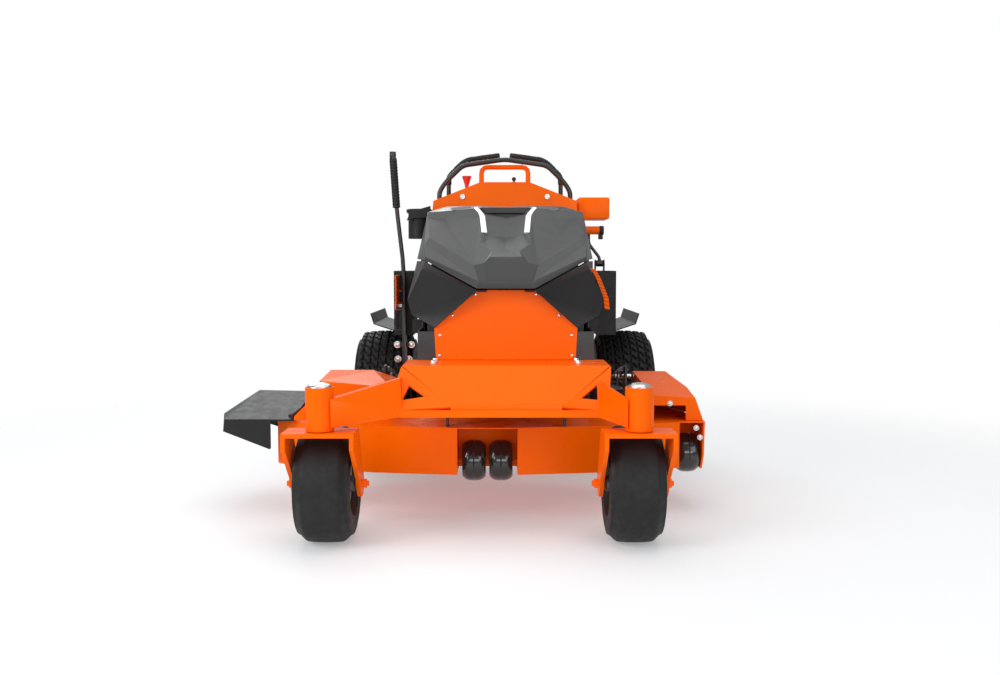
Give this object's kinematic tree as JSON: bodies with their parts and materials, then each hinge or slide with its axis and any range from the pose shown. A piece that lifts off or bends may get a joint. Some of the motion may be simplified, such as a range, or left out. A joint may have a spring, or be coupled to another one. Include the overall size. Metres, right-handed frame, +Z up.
{
  "type": "stand-on lawn mower",
  "caption": "Stand-on battery mower: floating cutting deck under a tube frame, swivelling front casters, large drive wheels, hood, lever console and folding platform.",
  "frame": {"origin": "bottom centre of the whole machine's box, on the ground", "axes": "+Z up; +Y from the casters to the operator platform; +X to the machine's left, seen from behind by an operator facing -Y"},
  "size_m": [1.543, 1.93, 1.2079],
  "materials": {
    "orange_paint": "glossy powder coat",
    "charcoal_plastic": "moulded charcoal plastic, fine grain, satin",
    "drive_rim_paint": "black paint",
    "tyre_rubber": "matt black rubber",
    "roller_plastic": "glossy black",
    "black_plastic": "matt moulded black plastic",
    "mat_rubber": "ribbed black rubber",
    "zinc_plate": "bright zinc plate",
    "grey_cast": "plain grey casting",
    "bearing_steel": "ground steel",
    "blade_steel": "grey painted steel, ground cutting edge",
    "battery_case": "matt case",
    "pad_cover": "soft black vinyl cover, stitched",
    "red_plastic": "glossy red",
    "black_steel": "satin black paint"
  },
  "bodies": {
    "root": {"front_frame": "orange_paint", "main_frame": "orange_paint", "battery_bay": "black_steel", "battery_pack_left": "battery_case", "battery_pack_right": "battery_case", "controller_box": "grey_cast", "front_panel": "orange_paint", "hood_cheek_left": "charcoal_plastic", "hood_cheek_right": "charcoal_plastic", "control_console": "orange_paint", "reference_bar": "black_steel", "hip_pad": "pad_cover", "cup_tray": "black_plastic", "side_box": "orange_paint", "fender_left": "black_plastic", "fender_right": "black_plastic", "wheel_motor_left": "black_steel", "wheel_motor_right": "black_steel", "lift_quadrant": "orange_paint", "caster_bearing_left": "bearing_steel", "caster_bearing_right": "bearing_steel", "caster_cap_left": "zinc_plate", "caster_cap_right": "zinc_plate"},
    "deck": {"deck_shell": "orange_paint", "deck_cover_left": "orange_paint", "deck_cover_right": "orange_paint", "blade_motor_centre": "black_steel", "blade_motor_left": "black_steel", "blade_motor_right": "black_steel", "front_hanger_left": "black_steel", "front_hanger_right": "black_steel", "rear_hanger_left": "black_steel", "rear_hanger_right": "black_steel"},
    "lift": {"lift_lever": "black_steel", "lift_shaft": "black_steel"},
    "cutter_right": {"blade_right": "blade_steel"},
    "cutter_centre": {"blade_centre": "blade_steel"},
    "cutter_left": {"blade_left": "blade_steel"},
    "roller_centre_right": {"anti_scalp_roller_centre_right": "roller_plastic"},
    "roller_centre_left": {"anti_scalp_roller_centre_left": "roller_plastic"},
    "roller_side": {"anti_scalp_roller_side": "roller_plastic"},
    "chute": {"discharge_chute": "black_plastic"},
    "fork_right": {"caster_fork_right": "orange_paint"},
    "fork_left": {"caster_fork_left": "orange_paint"},
    "front_wheel_right": {"caster_tyre_right": "tyre_rubber", "caster_hub_right": "grey_cast"},
    "front_wheel_left": {"caster_tyre_left": "tyre_rubber", "caster_hub_left": "grey_cast"},
    "drive_wheel_right": {"drive_tyre_right": "tyre_rubber", "drive_rim_right": "drive_rim_paint"},
    "drive_wheel_left": {"drive_tyre_left": "tyre_rubber", "drive_rim_left": "drive_rim_paint"},
    "hood": {"hood_lid": "charcoal_plastic"},
    "platform": {"platform_plate": "orange_paint", "platform_mat": "mat_rubber"},
    "steer_left": {"drive_lever_left": "black_steel"},
    "steer_right": {"drive_lever_right": "black_steel"},
    "brake": {"parking_brake_lever": "orange_paint"},
    "cutter_switch": {"pto_knob": "red_plastic"},
    "key": {"key_switch": "black_plastic"}
  },
  "joints": [
    {"name": "lift_lever_pivot", "type": "hinge", "parent": "root", "child": "lift", "pos_m": [0.1335, 0.005, 0.375], "axis": [1, 0, 0], "range_deg": [0, 30.35]},
    {"name": "deck_lift", "type": "slide", "parent": "root", "child": "deck", "axis": [0, 0, -1], "range_m": [0, 0.089]},
    {"name": "blade_right_spin", "type": "hinge", "parent": "deck", "child": "cutter_right", "pos_m": [-0.3115, -0.265, 0.16], "axis": [0, 0, 1], "continuous": true},
    {"name": "blade_centre_spin", "type": "hinge", "parent": "deck", "child": "cutter_centre", "pos_m": [0.0785, -0.095, 0.16], "axis": [0, 0, 1], "continuous": true},
    {"name": "blade_left_spin", "type": "hinge", "parent": "deck", "child": "cutter_left", "pos_m": [0.4685, -0.265, 0.16], "axis": [0, 0, 1], "continuous": true},
    {"name": "roller_centre_right_spin", "type": "hinge", "parent": "deck", "child": "roller_centre_right", "pos_m": [0.0355, -0.522, 0.179], "axis": [1, 0, 0], "continuous": true},
    {"name": "roller_centre_left_spin", "type": "hinge", "parent": "deck", "child": "roller_centre_left", "pos_m": [0.1185, -0.522, 0.179], "axis": [1, 0, 0], "continuous": true},
    {"name": "roller_side_spin", "type": "hinge", "parent": "deck", "child": "roller_side", "pos_m": [0.7175, -0.386, 0.179], "axis": [1, 0, 0], "continuous": true},
    {"name": "chute_hinge", "type": "hinge", "parent": "deck", "child": "chute", "pos_m": [-0.5385, -0.3075, 0.312], "axis": [0, 1, 0], "range_deg": [0, 80]},
    {"name": "fork_right_swivel", "type": "hinge", "parent": "root", "child": "fork_right", "pos_m": [-0.3715, -0.915, 0.39], "axis": [0, 0, 1], "continuous": true},
    {"name": "fork_left_swivel", "type": "hinge", "parent": "root", "child": "fork_left", "pos_m": [0.4915, -0.915, 0.39], "axis": [0, 0, 1], "continuous": true},
    {"name": "front_wheel_right_spin", "type": "hinge", "parent": "fork_right", "child": "front_wheel_right", "pos_m": [-0.3715, -0.795, 0.165], "axis": [1, 0, 0], "continuous": true},
    {"name": "front_wheel_left_spin", "type": "hinge", "parent": "fork_left", "child": "front_wheel_left", "pos_m": [0.4915, -0.795, 0.165], "axis": [1, 0, 0], "continuous": true},
    {"name": "drive_wheel_right_spin", "type": "hinge", "parent": "root", "child": "drive_wheel_right", "pos_m": [-0.3295, 0.4, 0.261], "axis": [1, 0, 0], "continuous": true},
    {"name": "drive_wheel_left_spin", "type": "hinge", "parent": "root", "child": "drive_wheel_left", "pos_m": [0.5965, 0.4, 0.261], "axis": [1, 0, 0], "continuous": true},
    {"name": "hood_hinge", "type": "hinge", "parent": "root", "child": "hood", "pos_m": [0.1335, -0.6, 0.7], "axis": [1, 0, 0], "range_deg": [0, 75]},
    {"name": "platform_hinge", "type": "hinge", "parent": "root", "child": "platform", "pos_m": [0.1335, 0.635, 0.175], "axis": [1, 0, 0], "range_deg": [0, 85]},
    {"name": "drive_lever_left_pivot", "type": "hinge", "parent": "root", "child": "steer_left", "pos_m": [0.3475, 0.285, 0.97], "axis": [1, 0, 0], "range_deg": [-10, 14], "stiffness_Nm_per_rad": 12},
    {"name": "drive_lever_right_pivot", "type": "hinge", "parent": "root", "child": "steer_right", "pos_m": [-0.0805, 0.285, 0.97], "axis": [1, 0, 0], "range_deg": [-10, 14], "stiffness_Nm_per_rad": 12},
    {"name": "parking_brake_pivot", "type": "hinge", "parent": "root", "child": "brake", "pos_m": [0.4855, 0.155, 0.787], "axis": [1, 0, 0], "range_deg": [-35, 0]},
    {"name": "cutter_switch_pull", "type": "slide", "parent": "root", "child": "cutter_switch", "axis": [0, 0, 1], "range_m": [0, 0.012]},
    {"name": "key_turn", "type": "hinge", "parent": "root", "child": "key", "pos_m": [0.1675, 0.195, 1.083], "axis": [0, 0, 1], "range_deg": [0, 90]}
  ],
  "couplings": [
    {"joint": "deck_lift", "follows": "lift_lever_pivot", "m_per_rad": 0.168}
  ]
}
